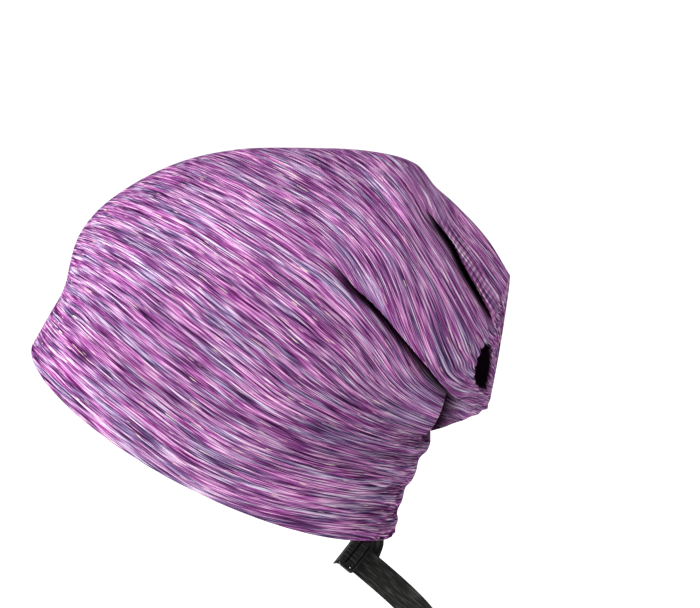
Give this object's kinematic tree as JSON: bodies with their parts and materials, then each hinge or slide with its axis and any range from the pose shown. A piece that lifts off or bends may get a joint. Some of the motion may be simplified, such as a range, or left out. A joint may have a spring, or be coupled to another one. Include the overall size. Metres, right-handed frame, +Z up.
{
  "type": "satin-lined beanie",
  "caption": "Slouchy jersey beanie in its worn shape, with a satin lining, a turned-up hem inside the rim, and an elastic strap through a slider at the nape.",
  "frame": {"origin": "the spot inside the lining where the top of the wearer's head carries the hat", "axes": "+Z up, -X the way the wearer faces, so the slouch hangs towards +X, and -Y the wearer's left side, where the slider and the gathered tip are"},
  "size_m": [0.2423, 0.168, 0.2552],
  "materials": {
    "jersey": "soft knitted jersey, space-dyed in streaks of purple, lilac, pink and grey-violet",
    "satin": "silver-grey satin with a broad soft sheen",
    "elastic": "black elastic with fine lengthwise ribs",
    "slider": "black moulded plastic, half matte"
  },
  "bodies": {
    "root": {"outer_shell": "jersey", "satin_lining": "satin", "elastic_strap": "elastic", "slider_loop": "elastic", "slider": "slider"}
  },
  "joints": []
}
